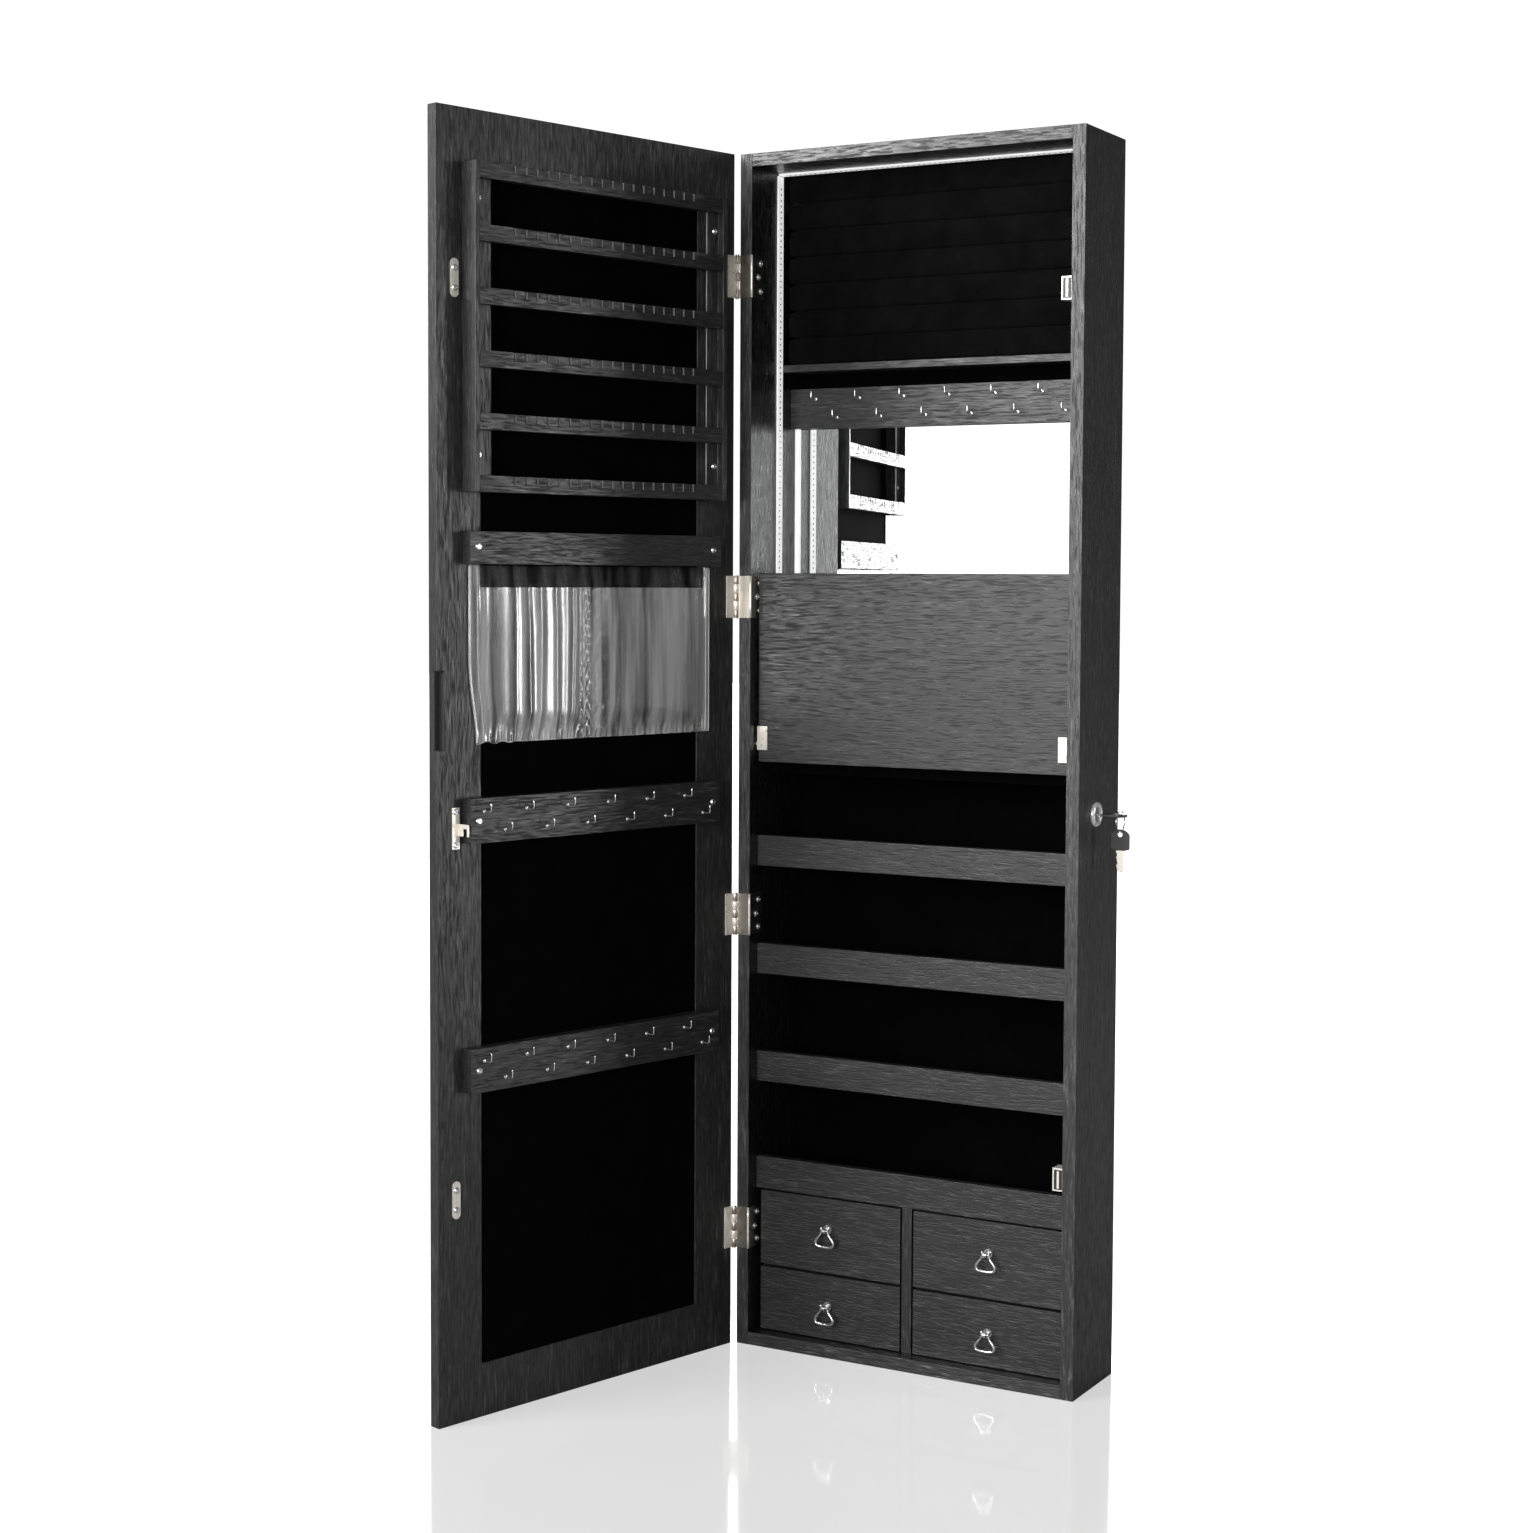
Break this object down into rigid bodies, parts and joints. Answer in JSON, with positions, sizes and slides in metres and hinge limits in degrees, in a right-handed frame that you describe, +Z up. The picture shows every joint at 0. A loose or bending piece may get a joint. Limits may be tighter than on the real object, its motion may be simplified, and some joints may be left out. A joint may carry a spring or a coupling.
{
  "type": "wall-hung jewelry armoire",
  "caption": "Shallow wall-hung jewelry cabinet with a mirrored full-height door, drawers, shelves, fold-down shelf, ring cushion, earring rack, hooks, pouch and cam lock.",
  "frame": {"origin": "centre of the cabinet's underside", "axes": "+Z up, -Y out of the front, +X towards the lock side"},
  "size_m": [0.5172, 0.4584, 1.2],
  "materials": {
    "black_wood": "black wood-grain foil on board, satin",
    "velvet": "black velvet",
    "mirror": "silvered glass",
    "nickel": "satin nickel plate",
    "chrome": "polished chrome",
    "black_plastic": "satin black plastic",
    "pale_trim": "dotted pale grey strip",
    "clear_vinyl": "clear soft vinyl, gathered"
  },
  "bodies": {
    "cabinet": {"side_left": "black_wood", "side_right": "black_wood", "top_board": "black_wood", "bottom_board": "black_wood", "back_panel": "black_wood", "inner_cleats": "black_wood", "ring_ledge": "black_wood", "cabinet_hook_bar": "black_wood", "shelf_lips": "black_wood", "drawer_partitions": "black_wood", "ring_cushion": "velvet", "flap_floor": "velvet", "shelf_boards": "velvet", "inner_mirror": "mirror", "trim_strip": "pale_trim", "cabinet_hinge_leaves": "nickel", "hinge_pins": "nickel", "magnet_catches": "nickel", "cabinet_hooks": "chrome", "cabinet_screws": "chrome", "lock_body": "chrome"},
    "door": {"door_stile_hinge": "black_wood", "door_stile_free": "black_wood", "door_rails": "black_wood", "door_mirror": "mirror", "door_backer": "velvet", "rack_frame": "black_wood", "rack_rails": "black_wood", "pouch_bar": "black_wood", "pouch": "clear_vinyl", "door_hook_bars": "black_wood", "door_hooks": "chrome", "strike_plates": "nickel", "lock_hook": "nickel", "finger_pull": "black_plastic", "door_hinge_leaves": "nickel", "door_screws": "chrome"},
    "flap": {"flap_panel": "black_wood", "flap_pivots": "nickel"},
    "drawer_ll": {"drawer_ll_front": "black_wood", "drawer_ll_tray": "velvet", "drawer_ll_post": "chrome"},
    "ring_ll": {"drawer_ll_ring": "chrome"},
    "drawer_lr": {"drawer_lr_front": "black_wood", "drawer_lr_tray": "velvet", "drawer_lr_post": "chrome"},
    "ring_lr": {"drawer_lr_ring": "chrome"},
    "drawer_ul": {"drawer_ul_front": "black_wood", "drawer_ul_tray": "velvet", "drawer_ul_post": "chrome"},
    "ring_ul": {"drawer_ul_ring": "chrome"},
    "drawer_ur": {"drawer_ur_front": "black_wood", "drawer_ur_tray": "velvet", "drawer_ur_post": "chrome"},
    "ring_ur": {"drawer_ur_ring": "chrome"},
    "lock": {"lock_plug": "chrome"},
    "key": {"key": "black_plastic"},
    "split_ring": {"key_ring": "chrome"},
    "spare": {"spare_key": "black_plastic"}
  },
  "joints": [
    {"name": "door_swing", "type": "hinge", "parent": "cabinet", "child": "door", "pos_m": [-0.1876, -0.0506, 0.6], "axis": [0, 0, -1], "range_deg": [-105.4, 74.6]},
    {"name": "flap_fold", "type": "hinge", "parent": "cabinet", "child": "flap", "pos_m": [0, -0.035, 0.612], "axis": [1, 0, 0], "range_deg": [0, 90]},
    {"name": "drawer_ll_slide", "type": "slide", "parent": "cabinet", "child": "drawer_ll", "axis": [0, -1, 0], "range_m": [0, 0.06]},
    {"name": "ring_ll_swing", "type": "hinge", "parent": "drawer_ll", "child": "ring_ll", "pos_m": [-0.0887, -0.04, 0.047], "axis": [-1, 0, 0], "range_deg": [-10, 100]},
    {"name": "drawer_lr_slide", "type": "slide", "parent": "cabinet", "child": "drawer_lr", "axis": [0, -1, 0], "range_m": [0, 0.06]},
    {"name": "ring_lr_swing", "type": "hinge", "parent": "drawer_lr", "child": "ring_lr", "pos_m": [0.0887, -0.04, 0.047], "axis": [-1, 0, 0], "range_deg": [-10, 100]},
    {"name": "drawer_ul_slide", "type": "slide", "parent": "cabinet", "child": "drawer_ul", "axis": [0, -1, 0], "range_m": [0, 0.06]},
    {"name": "ring_ul_swing", "type": "hinge", "parent": "drawer_ul", "child": "ring_ul", "pos_m": [-0.0887, -0.04, 0.1255], "axis": [-1, 0, 0], "range_deg": [-10, 100]},
    {"name": "drawer_ur_slide", "type": "slide", "parent": "cabinet", "child": "drawer_ur", "axis": [0, -1, 0], "range_m": [0, 0.06]},
    {"name": "ring_ur_swing", "type": "hinge", "parent": "drawer_ur", "child": "ring_ur", "pos_m": [0.0887, -0.04, 0.1255], "axis": [-1, 0, 0], "range_deg": [-10, 100]},
    {"name": "lock_turn", "type": "hinge", "parent": "cabinet", "child": "lock", "pos_m": [0.18, -0.009, 0.556], "axis": [-1, 0, 0], "range_deg": [0, 90]},
    {"name": "key_pull", "type": "slide", "parent": "lock", "child": "key", "axis": [1, 0, 0], "range_m": [0, 0.03]},
    {"name": "key_ring_turn", "type": "hinge", "parent": "key", "child": "split_ring", "pos_m": [0.208, -0.0025, 0.556], "axis": [-1, 0, 0], "range_deg": [-90, 0]},
    {"name": "spare_key_swing", "type": "hinge", "parent": "split_ring", "child": "spare", "pos_m": [0.208, -0.0025, 0.539], "axis": [0, -1, 0], "range_deg": [-15, 45]}
  ],
  "couplings": [
    {"joint": "key_ring_turn", "follows": "lock_turn", "ratio": -1}
  ]
}
